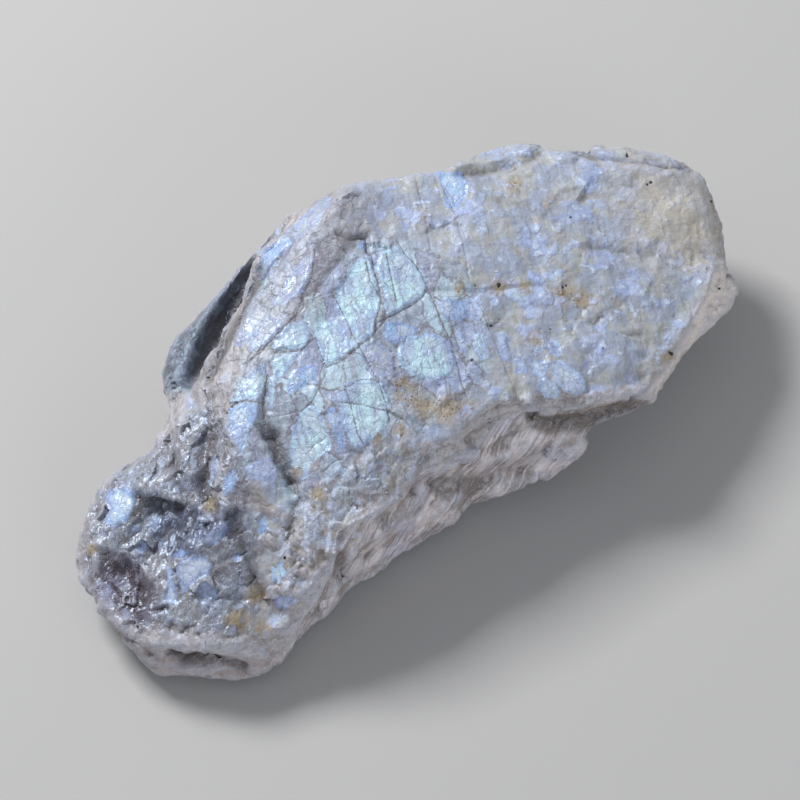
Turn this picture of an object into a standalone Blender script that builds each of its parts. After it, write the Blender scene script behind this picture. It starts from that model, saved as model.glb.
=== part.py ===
"""A rough moonstone: one broken piece of feldspar, 65 mm long, with a sloping table on top,
stepped and fibrous walls, and one flat cleavage face below on which it lies."""

import math

import bmesh
import bpy
import numpy as np
from mathutils import Vector, geometry, noise

MM = 0.001

# The slanting line of sight along which each half of the skin shows only once.
SIGHT_AZIMUTH = math.radians(-42)
SIGHT_ELEVATION = math.radians(55)

# The broken surface, in millimetres.
LONGEST_EDGE = 1.6
SPLIT_PASSES = 6
WEAR_PASSES = 2
WEAR = 0.35
LUMP_SIZE = 5.5
LUMP_HEIGHT = 0.45
CHIP_SIZE = 2.2
CHIP_HEIGHT = 0.22
LAYER_NORMAL = Vector((0.2, 0.05, 1.0)).normalized()
LAYER_THICKNESS = 3.2
LAYER_BEND = 2.5
LAYER_BEND_SIZE = 11.0
LEDGE_HEIGHT = 0.7
FLAT_ZONE = 1.2

# Places are x, y, z in millimetres over the flat face: +x to the right end, +y to the back.

# The outline of the stone along the line of sight, round by the back from the left end.
RING = [
    (-29.8, 6.5, 3.5), (-28.1, 8.5, 4.0), (-25.5, 10.7, 4.5), (-22.6, 11.7, 5.0),
    (-20.2, 11.7, 5.5), (-18.0, 11.0, 6.0), (-16.5, 11.4, 7.0), (-14.4, 12.4, 7.2),
    (-13.7, 15.3, 5.5), (-12.6, 16.9, 5.5), (-10.9, 17.7, 6.0), (-9.0, 18.1, 6.5),
    (-6.2, 18.5, 7.5), (-3.6, 18.1, 8.5), (-1.6, 18.5, 9.5), (0.7, 18.3, 10.5),
    (3.8, 18.9, 11.5), (4.8, 18.2, 12.5), (5.8, 16.5, 14.0), (7.8, 14.6, 16.0),
    (11.7, 13.0, 15.5), (14.7, 11.3, 15.0), (16.4, 11.0, 14.6), (18.3, 11.8, 13.5),
    (20.2, 11.8, 13.0), (22.3, 11.1, 12.8), (24.0, 8.2, 13.4), (25.7, 6.1, 12.8),
    (27.4, 6.9, 11.0), (28.9, 7.4, 10.5), (31.0, 5.1, 10.5), (32.0, 3.2, 10.3),
    (33.7, 0.6, 10.0), (34.2, -1.3, 9.5), (33.8, -2.9, 9.0), (33.2, -4.2, 8.5),
    (32.5, -6.2, 8.0), (31.2, -7.8, 7.5), (30.1, -8.7, 7.3), (29.7, -10.6, 6.5),
    (27.6, -11.8, 6.5), (25.5, -12.2, 6.5), (21.5, -12.5, 7.0), (17.8, -14.0, 7.0),
    (15.1, -14.6, 7.3), (12.7, -14.1, 7.4), (10.0, -12.8, 7.0), (9.3, -13.1, 5.5),
    (8.6, -13.0, 4.5), (7.4, -12.8, 3.5), (5.6, -12.4, 3.0), (4.2, -11.5, 3.0),
    (1.3, -11.1, 2.0), (-0.5, -9.8, 2.2), (-2.8, -10.0, 1.6), (-4.8, -9.2, 1.5),
    (-7.7, -9.2, 1.5), (-10.2, -9.4, 1.5), (-14.0, -8.9, 1.2), (-15.8, -9.0, 1.2),
    (-20.1, -9.9, 1.0), (-24.0, -10.0, 1.0), (-26.6, -8.1, 1.0), (-30.8, -4.2, 1.0),
    (-31.1, -2.4, 1.2), (-30.6, -1.0, 1.5), (-30.7, 0.2, 2.0), (-30.4, 2.6, 2.5),
    (-30.2, 4.1, 3.0),
]
# Lines that the facets of the upper side keep to: ridges, lips, gullies and step edges.
UPPER_LINES = {
    "crest": [(3.7, 12.8, 16.6), (0.5, 11.3, 16.9), (-2.4, 8.8, 16.4), (-5.9, 7.7, 15.6),
              (-9.8, 7.4, 14.6), (-12.2, 7.5, 13.6)],
    "lip": [(5.2, 15.5, 15.2), (2.7, 15.5, 14.9), (-0.8, 15.1, 14.5), (-3.7, 14.5, 14.2),
            (-7.1, 12.4, 13.6), (-9.8, 11.0, 12.6), (-12.0, 10.8, 11.0), (-13.8, 10.7, 9.3)],
    "groove": [(3.6, 17.9, 10.9), (0.3, 17.8, 9.6), (-2.3, 17.3, 8.2), (-4.8, 16.7, 6.8),
               (-8.1, 14.9, 6.2), (-11.3, 13.4, 6.0)],
    "lump": [(-2.8, 17.5, 9.9), (-5.7, 16.9, 9.1), (-8.3, 16.4, 8.9), (-10.9, 15.4, 8.4),
             (-13.0, 14.0, 7.8)],
    "table edge": [(23.1, 7.9, 13.5), (26.7, 4.2, 12.9), (29.3, 2.0, 12.3), (31.8, -0.4, 11.4),
                   (31.9, -2.7, 10.6), (30.0, -6.5, 9.6), (28.4, -9.2, 8.6), (24.2, -10.8, 9.2),
                   (21.3, -11.9, 9.2), (17.2, -13.5, 9.2), (14.8, -14.3, 9.2), (12.4, -13.3, 10.0),
                   (10.2, -12.0, 10.6), (8.5, -10.8, 11.2), (6.5, -10.0, 11.5), (3.5, -8.4, 12.3),
                   (0.1, -8.4, 12.2), (-2.5, -8.9, 12.0), (-4.0, -8.9, 11.3)],
    "crease": [(22.6, 0.0, 12.6), (23.5, -4.1, 11.3), (25.8, -6.6, 10.2), (28.4, -9.2, 8.6)],
    "front crest": [(-6.1, -8.0, 11.2), (-9.2, -8.4, 10.5), (-13.3, -8.8, 9.3),
                    (-15.8, -8.8, 8.6), (-19.2, -9.3, 7.1), (-21.7, -10.0, 5.2)],
    "step foot": [(6.9, -10.6, 9.0), (9.8, -12.5, 8.6), (12.8, -14.0, 8.4)],
    "shelf": [(3.0, -9.0, 9.4), (6.1, -11.2, 7.6), (8.7, -12.6, 6.8)],
    "valley": [(-13.0, 2.0, 13.0), (-14.0, -1.6, 11.4), (-15.5, -4.8, 10.0), (-18.3, -5.9, 8.2),
               (-21.3, -7.0, 6.6)],
    "west ridge": [(-13.8, 3.5, 13.6), (-17.8, 0.8, 11.8), (-21.1, -1.1, 10.0), (-23.7, -1.0, 8.6)],
    "gully": [(-14.3, 8.1, 10.6), (-18.1, 4.3, 9.8), (-21.1, 2.4, 7.6), (-23.7, 3.0, 6.5)],
    "outer ridge": [(-16.5, 9.0, 9.6), (-18.9, 5.2, 10.4), (-21.0, 3.7, 9.0)],
    "block": [(-21.7, 8.0, 8.3), (-20.6, 6.8, 8.6), (-21.8, 5.1, 8.4), (-23.2, 6.5, 8.0)],
    "end edge": [(-30.6, -0.3, 4.3), (-29.9, -3.6, 4.7), (-27.3, -6.2, 5.3), (-25.2, -8.2, 5.2),
                 (-23.4, -10.0, 4.4)],
    "crevice": [(-29.1, -4.5, 3.4), (-27.4, -6.2, 3.2), (-25.4, -8.4, 3.3)],
    "slab": [(-30.6, -3.8, 3.0), (-29.1, -5.7, 2.8), (-26.4, -8.1, 2.6), (-24.2, -9.7, 2.6)],
}
# Single tops and hollows of the upper side.
UPPER_SPOTS = [
    (25.7, -10.2, 9.4), (-4.8, -8.5, 10.0), (-5.2, -8.7, 7.6), (2.1, -10.0, 7.2), (4.4, -11.2, 6.0),
    (6.9, -12.2, 5.0), (-1.0, -9.2, 6.2), (0.5, -10.5, 5.0), (-2.9, -9.4, 4.6), (-7.9, -8.7, 7.4),
    (-10.2, -8.9, 5.6), (-14.3, -9.1, 4.7), (-19.0, -9.6, 3.9), (-24.9, -0.5, 7.6), (-22.7, -2.3, 8.3),
    (-23.4, -4.6, 7.2), (-26.1, -2.6, 6.2), (-22.8, 6.5, 6.7), (-21.2, 4.4, 7.2), (-23.3, 9.1, 7.0),
    (-25.7, 7.9, 6.3), (-24.9, 5.5, 6.7), (-27.9, 6.2, 5.7), (-27.8, 3.5, 5.0), (-30.0, 3.4, 4.8),
    (-27.1, 0.8, 5.9), (-0.5, 6.8, 16.0), (5.2, 2.6, 15.1), (-3.3, -1.2, 14.2), (1.7, -4.3, 13.5),
    (-5.8, -5.3, 12.9), (3.1, 10.8, 16.4), (16.4, 5.7, 14.6), (9.1, -2.2, 13.6), (17.3, -2.0, 13.0),
    (11.4, -7.1, 12.2), (19.1, -7.5, 11.3), (26.6, -0.8, 12.0), (13.4, -11.1, 11.0), (-9.2, -4.2, 13.2),
    (-12.8, -5.7, 11.2), (-15.9, -6.7, 9.6), (-8.2, 0.6, 14.2), (-9.4, -6.8, 11.9), (-9.8, 5.0, 14.6),
]
# The back wall and the underside, which turn away from the line of sight.
LOWER_LINES = {
    "waist": [(-27.5, 8.0, 1.8), (-22.5, 11.0, 2.6), (-17.5, 10.8, 3.0), (-15.0, 11.5, 3.0),
              (-11.5, 14.2, 2.6), (-6.0, 17.8, 3.0), (-0.5, 18.8, 4.0), (5.0, 18.5, 5.5),
              (11.0, 15.5, 6.5), (17.5, 13.3, 6.0), (23.0, 11.8, 6.0), (28.0, 8.0, 5.5),
              (32.0, 3.0, 5.8), (32.0, -3.0, 5.0)],
    "back ledge": [(2.0, 18.8, 8.5), (8.5, 15.8, 11.3), (14.5, 12.6, 11.0), (20.5, 12.0, 10.3),
                   (26.0, 9.5, 9.0), (31.0, 5.0, 8.5)],
    "chine": [(13.5, -10.5, 3.2), (20.5, -10.8, 3.6), (27.0, -8.0, 3.0), (30.5, -1.0, 2.6),
              (29.0, 5.5, 2.4), (20.5, 11.5, 2.2), (11.0, 16.0, 2.4), (1.5, 17.8, 1.8),
              (-7.0, 15.5, 1.2)],
}
# The flat face that the stone lies on.
FLAT_FACE = [
    (-27.5, 2.0, 0.0), (-28.0, -3.5, 0.0), (-23.5, -8.0, 0.0), (-14.5, -7.0, 0.0),
    (-5.0, -7.0, 0.0), (0.5, -7.5, 0.0), (6.0, -7.5, 0.0), (11.5, -7.0, 0.0),
    (18.0, -7.0, 0.0), (24.5, -4.5, 0.0), (27.5, 1.0, 0.0), (24.0, 8.0, 0.0),
    (15.5, 12.0, 0.0), (6.0, 16.0, 0.0), (-3.0, 16.0, 0.0), (-10.0, 13.0, 0.0),
    (-16.5, 8.5, 0.0), (-23.5, 7.0, 0.0),
]

STONE_COLOUR = (0.46, 0.47, 0.52, 1.0)
STONE_ROUGHNESS = 0.42


def clear_scene():
    for obj in list(bpy.data.objects):
        bpy.data.objects.remove(obj, do_unlink=True)


def sight_axes():
    """The right and up directions of the plane across the line of sight."""
    right = Vector((math.cos(SIGHT_AZIMUTH), math.sin(SIGHT_AZIMUTH), 0))
    up = Vector((
        -math.sin(SIGHT_AZIMUTH) * math.sin(SIGHT_ELEVATION),
        math.cos(SIGHT_AZIMUTH) * math.sin(SIGHT_ELEVATION),
        math.cos(SIGHT_ELEVATION),
    ))
    return right, up


def joined_lines(lines, points):
    """Adds the lines' places to points, shared places once, and returns the edges along the lines."""
    edges = []
    for line in lines:
        points += [place for place in dict.fromkeys(line) if place not in points]
        numbers = [points.index(place) for place in line]
        edges += list(zip(numbers, numbers[1:]))
    return edges


def facets(points, edges):
    """Triangles between the points, joined up as they lie across the line of sight."""
    right, up = sight_axes()
    flat = [Vector((right.dot(Vector(p)), up.dot(Vector(p)))) for p in points]
    ring_edges = [(i, (i + 1) % len(RING)) for i in range(len(RING))]
    found = geometry.delaunay_2d_cdt(flat, ring_edges + edges, [], 1, 1e-6)
    places, triangles, origins = found[0], found[2], found[3]
    assert len(places) == len(points), "two lines of the stone cross"
    names = [origin[0] for origin in origins]
    return [tuple(names[i] for i in triangle) for triangle in triangles]


def closed_stone():
    """The upper and the lower facets, meeting along the ring."""
    mesh = bmesh.new()
    ring = [mesh.verts.new(place) for place in RING]
    upper_lines = [*UPPER_LINES.values(), *([spot] for spot in UPPER_SPOTS)]
    lower_lines = [*LOWER_LINES.values(), FLAT_FACE + FLAT_FACE[:1]]
    for lines in (upper_lines, lower_lines):
        places = list(RING)
        edges = joined_lines(lines, places)
        verts = ring + [mesh.verts.new(place) for place in places[len(RING):]]
        for triangle in facets(places, edges):
            mesh.faces.new([verts[i] for i in triangle])
    bmesh.ops.recalc_face_normals(mesh, faces=mesh.faces)
    return mesh


def lies_flat(face):
    return max(vert.co.z for vert in face.verts) == 0


def split_long_edges(mesh):
    """Splits the edges longer than LONGEST_EDGE, except those inside the flat face."""
    for _ in range(SPLIT_PASSES):
        long_edges = [
            edge for edge in mesh.edges
            if edge.calc_length() > LONGEST_EDGE and not all(map(lies_flat, edge.link_faces))
        ]
        bmesh.ops.subdivide_edges(mesh, edges=long_edges, cuts=1)
        bmesh.ops.triangulate(mesh, faces=mesh.faces)


def wear_corners(mesh):
    """Rounds the sharpest corners of the facets a little, but not the flat face."""
    for _ in range(WEAR_PASSES):
        worn = [vert for vert in mesh.verts if vert.co.z > 0]
        bmesh.ops.smooth_vert(mesh, verts=worn, factor=WEAR, use_axis_x=True, use_axis_y=True, use_axis_z=True)


def relief(place, normal):
    """How far the broken surface stands out at a place: lumps, chips and the edges of its layers."""
    lumps = LUMP_HEIGHT * noise.fractal(place / LUMP_SIZE, 1.0, 2.0, 3)
    chips = CHIP_HEIGHT * noise.turbulence(place / CHIP_SIZE, 2, True)
    bend = LAYER_BEND * noise.noise(place / LAYER_BEND_SIZE)
    layer = (place.dot(LAYER_NORMAL) + bend) / LAYER_THICKNESS
    ledge = LEDGE_HEIGHT * (layer % 1.0 - 0.5) * (1 - abs(normal.dot(LAYER_NORMAL)))
    return lumps + chips + ledge


def roughen(mesh):
    """Moves each corner along its normal by the relief, which fades out towards the flat face."""
    mesh.normal_update()
    moves = [
        vert.normal * relief(vert.co, vert.normal) * min(1.0, vert.co.z / FLAT_ZONE)
        for vert in mesh.verts
    ]
    for vert, move in zip(mesh.verts, moves):
        vert.co += move
        vert.co.z = max(vert.co.z, 0.0)


def centre_over_base(mesh):
    """Puts the middle of the bounding box over the origin."""
    places = np.array([vert.co for vert in mesh.verts])
    middle = (places.min(axis=0) + places.max(axis=0)) / 2
    bmesh.ops.translate(mesh, vec=(-middle[0], -middle[1], 0), verts=mesh.verts)


def stone_material():
    material = bpy.data.materials.new("moonstone")
    material.use_nodes = True
    shader = material.node_tree.nodes["Principled BSDF"]
    shader.inputs["Base Color"].default_value = STONE_COLOUR
    shader.inputs["Roughness"].default_value = STONE_ROUGHNESS
    shader.inputs["Metallic"].default_value = 0.0
    return material


def main():
    clear_scene()
    mesh = closed_stone()
    split_long_edges(mesh)
    wear_corners(mesh)
    roughen(mesh)
    centre_over_base(mesh)
    bmesh.ops.scale(mesh, vec=(MM, MM, MM), verts=mesh.verts)
    data = bpy.data.meshes.new("moonstone")
    mesh.to_mesh(data)
    mesh.free()
    data.materials.append(stone_material())
    stone = bpy.data.objects.new("moonstone", data)
    bpy.context.scene.collection.objects.link(stone)


main()
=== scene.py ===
"""A rough moonstone, 65 mm long, lying on a pale table: one broken piece of feldspar.

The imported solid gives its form. Its skin is cut finer here, broken into cleavage plates, cracks and
layered walls, and coloured with the blue and white flashes that the stone shows."""

import math
from functools import partial

import bpy
import numpy as np
from mathutils import Matrix, Vector, kdtree, noise


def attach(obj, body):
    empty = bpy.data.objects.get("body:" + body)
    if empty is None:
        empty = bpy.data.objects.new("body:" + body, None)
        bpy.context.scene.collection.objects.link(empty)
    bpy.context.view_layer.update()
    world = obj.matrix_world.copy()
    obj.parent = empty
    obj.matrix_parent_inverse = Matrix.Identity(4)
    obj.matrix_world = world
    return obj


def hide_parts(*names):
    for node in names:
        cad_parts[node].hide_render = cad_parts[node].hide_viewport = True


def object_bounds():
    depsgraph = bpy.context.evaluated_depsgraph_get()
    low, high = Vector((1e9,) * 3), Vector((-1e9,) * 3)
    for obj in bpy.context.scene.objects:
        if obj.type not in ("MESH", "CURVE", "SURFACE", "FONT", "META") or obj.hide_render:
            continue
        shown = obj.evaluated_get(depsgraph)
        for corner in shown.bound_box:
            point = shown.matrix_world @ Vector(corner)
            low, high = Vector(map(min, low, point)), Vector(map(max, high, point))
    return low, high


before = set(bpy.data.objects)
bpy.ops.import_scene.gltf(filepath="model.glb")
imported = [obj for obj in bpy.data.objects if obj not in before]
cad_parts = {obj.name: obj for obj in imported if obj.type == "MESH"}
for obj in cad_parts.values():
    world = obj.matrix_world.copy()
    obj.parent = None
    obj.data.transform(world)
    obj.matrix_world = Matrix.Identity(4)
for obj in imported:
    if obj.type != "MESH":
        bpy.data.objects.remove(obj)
cad_box = [list(corner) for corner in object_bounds()]
bpy.ops.object.select_all(action="DESELECT")


# The view. The camera looks down on the stone from its front left, over its blunt end.
# Places on the stone's face are then given as they show from here: across and up from the
# middle of the view, at the distance of the middle.
MM = 0.001
VIEW_AZIMUTH = math.radians(-42)
VIEW_ELEVATION = math.radians(55)
VIEW_DISTANCE = 0.36
VIEW_MIDDLE = Vector((-1.54, -2.22, 7.0)) * MM
VIEW_WIDTH = 200 / 3 * MM

across = Vector((math.cos(VIEW_AZIMUTH), math.sin(VIEW_AZIMUTH), 0))
towards = Vector((
    math.sin(VIEW_AZIMUTH) * math.cos(VIEW_ELEVATION),
    -math.cos(VIEW_AZIMUTH) * math.cos(VIEW_ELEVATION),
    math.sin(VIEW_ELEVATION),
))
upward = towards.cross(across)
eye = VIEW_MIDDLE + towards * VIEW_DISTANCE

scene = bpy.context.scene
camera_data = bpy.data.cameras.new("camera")
camera_data.lens = camera_data.sensor_width * VIEW_DISTANCE / VIEW_WIDTH
camera_data.clip_start = 0.01
camera_data.clip_end = 10
camera = bpy.data.objects.new("camera", camera_data)
camera.matrix_world = Matrix.Translation(eye) @ Matrix((across, upward, towards)).transposed().to_4x4()
scene.collection.objects.link(camera)
scene.camera = camera


# The stone: one rough piece of milky feldspar, broken along its layers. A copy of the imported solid
# is merged, cut finer where it is seen best, and smoothed, so that only its main forms are left.
SEEN_EDGE = 0.4 * MM
HIDDEN_EDGE = 0.6 * MM
BORDER_EDGE = 0.22 * MM
WEST_EDGE = 0.27 * MM
BORDER_REACH = 0.3
BASE_MARGIN = 0.3 * MM
ON_BASE = 0.01 * MM
# How squarely the skin has to face the view to count as seen, from -1 to 1.
SEEN_FROM = -0.1

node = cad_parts["moonstone"]
stone = bpy.data.objects.new("moonstone_skin", node.data.copy())
stone.data.materials.clear()
scene.collection.objects.link(stone)
bpy.context.view_layer.objects.active = stone
stone.select_set(True)
bpy.ops.mesh.customdata_custom_splitnormals_clear()
bpy.ops.object.mode_set(mode="EDIT")
bpy.ops.mesh.select_mode(type="EDGE")
bpy.ops.mesh.select_all(action="SELECT")
bpy.ops.mesh.remove_doubles(threshold=0.001 * MM)
bpy.ops.object.mode_set(mode="OBJECT")


def vertex_values(name, width):
    """One of the mesh's own vertex properties as an array."""
    values = np.empty(len(stone.data.vertices) * width, np.float32)
    stone.data.vertices.foreach_get(name, values)
    return values.reshape(-1, width).astype(float)


def place_corners(places):
    stone.data.vertices.foreach_set("co", places.astype(np.float32).ravel())
    stone.data.update()


def mesh_edges():
    """The numbers of both ends of each edge."""
    ends = np.empty(len(stone.data.edges) * 2, np.int32)
    stone.data.edges.foreach_get("vertices", ends)
    return ends.reshape(-1, 2)


def neighbour_mean(values, ends):
    """The mean of the values at each corner's neighbours."""
    count = np.bincount(ends.ravel(), minlength=len(values))
    total = np.empty_like(values)
    for column in range(values.shape[1]):
        total[:, column] = np.bincount(ends[:, 0], values[ends[:, 1], column], len(values))
        total[:, column] += np.bincount(ends[:, 1], values[ends[:, 0], column], len(values))
    return total / count[:, None]


def ramp(values, low, high):
    """0 below low, 1 above high, and smooth between."""
    part = np.clip((values - low) / (high - low), 0, 1)
    return part * part * (3 - 2 * part)


def face_map(places):
    """Where places show in the view, in millimetres across and up."""
    offset = places - np.array(eye)
    depth = -(offset @ np.array(towards))
    scale = VIEW_DISTANCE / MM / depth
    return np.stack([offset @ np.array(across), offset @ np.array(upward)], axis=1) * scale[:, None]


def faces_view():
    """How squarely each corner of the mesh faces the view, from -1 to 1."""
    offset = np.array(eye) - vertex_values("co", 3)
    offset /= np.linalg.norm(offset, axis=1)[:, None]
    return (vertex_values("normal", 3) * offset).sum(axis=1)


def split_edges(longer_than):
    """Cuts each edge longer than its limit in two, and makes triangles of all faces."""
    ends = mesh_edges()
    places = vertex_values("co", 3)
    length = np.linalg.norm(places[ends[:, 0]] - places[ends[:, 1]], axis=1)
    off_base = places[ends].max(axis=1)[:, 2] > ON_BASE
    chosen = (length > longer_than[ends].min(axis=1)) & off_base
    bpy.ops.object.mode_set(mode="EDIT")
    bpy.ops.mesh.select_all(action="DESELECT")
    bpy.ops.object.mode_set(mode="OBJECT")
    stone.data.edges.foreach_set("select", chosen)
    bpy.ops.object.mode_set(mode="EDIT")
    bpy.ops.mesh.subdivide(number_cuts=1)
    bpy.ops.mesh.select_all(action="SELECT")
    bpy.ops.mesh.quads_convert_to_tris(quad_method="SHORTEST_DIAGONAL")
    bpy.ops.object.mode_set(mode="OBJECT")


def smooth_where(chosen, rounds):
    group = stone.vertex_groups.new(name="chosen")
    group.add([int(i) for i in np.flatnonzero(chosen)], 1.0, "REPLACE")
    smooth = stone.modifiers.new("smooth", "SMOOTH")
    smooth.factor = 0.5
    smooth.iterations = rounds
    smooth.vertex_group = group.name
    bpy.ops.object.modifier_apply(modifier=smooth.name)
    stone.vertex_groups.clear()


# Two rounds to twice the edges wanted, a smoothing, and one round to the edges themselves. What is
# next to the base stays where it is.
for rounds in (2, 1):
    for _ in range(rounds):
        split_edges(np.where(faces_view() > SEEN_FROM, rounds * SEEN_EDGE, rounds * HIDDEN_EDGE))
    smooth_where(vertex_values("co", 3)[:, 2] > BASE_MARGIN, rounds)


# The cleavage plates: flat flakes of the face that flash, each parted from the next by a step or
# a crack. They are drawn as they show in the view, in tenths of a millimetre across and up from
# its middle, and fitted on the stone's own surface.
PLATES = [
    ("cream", [(-73, 118), (-75, 104), (-81, 92), (-92, 83), (-103, 77), (-108, 82), (-100, 93), (-90, 107),
        (-83, 118), (-78, 123)]),
    ("cream", [(-103, 68), (-97, 64), (-107, 53), (-115, 45), (-125, 40), (-128, 47), (-123, 57),
        (-118, 65), (-110, 70)]),
    ("cream", [(-125, 68), (-119, 66), (-126, 53), (-133, 45), (-140, 43), (-138, 56), (-132, 65)]),
    ("cream", [(-83, 154), (-68, 167), (-58, 171), (-68, 148), (-81, 135), (-90, 135)]),
    ("blue", [(-115, 125), (-96, 139), (-91, 133), (-105, 115), (-120, 103), (-125, 110)]),
    ("cyan", [(-29, 122), (-24, 120), (-22, 108), (-18, 93), (-18, 79), (-22, 65), (-23, 56), (-28, 50),
        (-35, 48), (-40, 58), (-48, 68), (-52, 77), (-54, 86), (-52, 94), (-46, 104), (-40, 113)]),
    ("cyan", [(-17, 124), (-2, 129), (3, 123), (9, 115), (18, 107), (22, 94), (18, 86), (10, 81), (0, 75),
        (-10, 70), (-13, 75), (-12, 88), (-16, 100), (-20, 110)]),
    ("blue", [(-36, 132), (-28, 135), (-28, 129), (-30, 125), (-35, 127)]),
    ("cyan", [(-72, 58), (-65, 62), (-54, 67), (-48, 62), (-42, 53), (-38, 45), (-46, 38), (-55, 31),
        (-62, 29), (-67, 38), (-70, 48)]),
    ("cyan", [(-96, 62), (-83, 68), (-77, 62), (-76, 50), (-83, 43), (-96, 44), (-108, 42), (-104, 52)]),
    ("cyan", [(-108, 33), (-96, 39), (-85, 40), (-92, 29), (-100, 18), (-106, 23)]),
    ("blue", [(-94, 18), (-87, 27), (-75, 29), (-68, 27), (-73, 17), (-83, 10), (-94, 4)]),
    ("cyan", [(-121, 28), (-115, 32), (-112, 23), (-115, 12), (-116, 2), (-133, 0), (-143, -3), (-137, 7),
        (-128, 18)]),
    ("blue", [(-143, -8), (-133, -2), (-118, -4), (-119, -15), (-125, -25), (-128, -38), (-133, -44),
        (-140, -33), (-145, -22)]),
    ("cyan", [(-110, 21), (-105, 18), (-105, 4), (-108, -8), (-112, 0)]),
    ("cyan", [(-74, -4), (-68, -9), (-62, -21), (-58, -33), (-57, -42), (-65, -48), (-73, -52), (-77, -66),
        (-83, -67), (-90, -54), (-92, -38), (-89, -21), (-82, -10)]),
    ("cyan", [(-42, 15), (-29, 18), (-17, 14), (-11, 4), (-9, -15), (-14, -25), (-23, -33), (-32, -42),
        (-40, -38), (-46, -25), (-50, -12), (-51, -2), (-48, 8)]),
    ("blue", [(-62, -8), (-54, -7), (-49, -21), (-44, -38), (-50, -43), (-56, -30)]),
    ("cream", [(-32, 45), (-21, 49), (-8, 42), (-5, 25), (-12, 19), (-23, 20), (-32, 32)]),
    ("cyan", [(0, 46), (10, 54), (25, 55), (38, 52), (43, 42), (46, 29), (42, 20), (29, 16), (15, 18),
        (4, 25), (-2, 35)]),
    ("blue", [(33, 83), (54, 83), (60, 71), (50, 65), (38, 71)]),
    ("blue", [(-13, 64), (4, 65), (17, 58), (4, 50), (-4, 46), (-13, 52)]),
    ("blue", [(-246, -77), (-235, -72), (-225, -73), (-222, -83), (-223, -93), (-229, -102), (-238, -105),
        (-248, -103), (-249, -96), (-244, -90), (-248, -83)]),
    ("blue", [(-220, -122), (-216, -117), (-211, -118), (-212, -123), (-217, -129), (-220, -127)]),
    ("lilac", [(-227, -107), (-219, -103), (-218, -108), (-225, -112)]),
    ("lilac", [(-185, -135), (-175, -131), (-162, -130), (-157, -137), (-158, -147), (-167, -150),
        (-175, -157), (-182, -164), (-185, -154), (-188, -144)]),
    ("lilac", [(-197, -140), (-191, -137), (-190, -146), (-186, -158), (-184, -171), (-192, -170),
        (-198, -169), (-195, -158)]),
    ("blue", [(-190, -129), (-183, -124), (-177, -127), (-182, -132), (-188, -133)]),
    ("lilac", [(-167, -154), (-162, -152), (-155, -158), (-150, -165), (-162, -167), (-170, -162)]),
    ("cream", [(-157, -112), (-148, -104), (-142, -100), (-145, -112), (-152, -121), (-161, -123),
        (-164, -119)]),
    ("cream", [(-160, -52), (-156, -43), (-152, -54), (-152, -62), (-158, -75), (-162, -71)]),
    ("blue", [(-118, -102), (-113, -98), (-110, -110), (-115, -115), (-118, -110)]),
    ("blue", [(-138, -131), (-134, -128), (-132, -134), (-135, -138), (-138, -136)]),
    ("blue", [(-122, -168), (-118, -167), (-116, -172), (-119, -177), (-122, -174)]),
    ("lilac", [(-143, -190), (-138, -188), (-135, -193), (-141, -198)]),
    ("lilac", [(-131, -58), (-118, -52), (-108, -48), (-103, -58), (-110, -67), (-125, -67)]),
    ("blue", [(-147, -67), (-140, -58), (-135, -65), (-140, -77), (-146, -80)]),
    ("cyan", [(-107, -142), (-98, -135), (-95, -146), (-100, -154), (-107, -152)]),
    ("lilac", [(-106, -171), (-100, -163), (-85, -167), (-92, -173), (-103, -176)]),
    ("pearl", [(127, 30), (136, 32), (142, 28), (150, 22), (157, 16), (158, 7), (148, 2), (138, 5),
        (132, 13)]),
    ("pearl", [(117, 12), (122, 18), (131, 12), (136, 4), (130, 0), (121, 2)]),
    ("pearl", [(109, 32), (117, 33), (124, 28), (122, 20), (117, 18), (111, 23)]),
    ("pearl", [(110, 50), (115, 57), (123, 53), (124, 42), (118, 38), (111, 43)]),
    ("pearl", [(126, 48), (132, 50), (136, 40), (133, 35), (126, 38)]),
    ("pearl", [(97, 32), (102, 34), (108, 29), (106, 22), (98, 22)]),
    ("lilac", [(82, 55), (89, 57), (92, 43), (92, 32), (86, 32), (82, 43)]),
    ("cyan", [(62, 53), (70, 57), (74, 46), (75, 35), (68, 32), (62, 42)]),
    ("lilac", [(47, 54), (53, 56), (57, 45), (56, 37), (50, 41)]),
    ("pearl", [(32, 82), (39, 86), (46, 82), (50, 72), (47, 68), (39, 68), (34, 74)]),
    ("pearl", [(56, 85), (65, 86), (69, 75), (67, 67), (58, 68)]),
    ("pearl", [(86, 90), (93, 93), (103, 92), (109, 86), (103, 82), (92, 84)]),
    ("pearl", [(99, 81), (108, 82), (112, 77), (105, 74)]),
    ("pearl", [(127, 104), (132, 108), (138, 107), (138, 99), (132, 95), (127, 98)]),
    ("pearl", [(108, 109), (114, 105), (122, 97), (115, 95), (109, 101)]),
    ("blue", [(31, 190), (52, 192), (57, 175), (50, 162), (38, 162)]),
]
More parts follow.
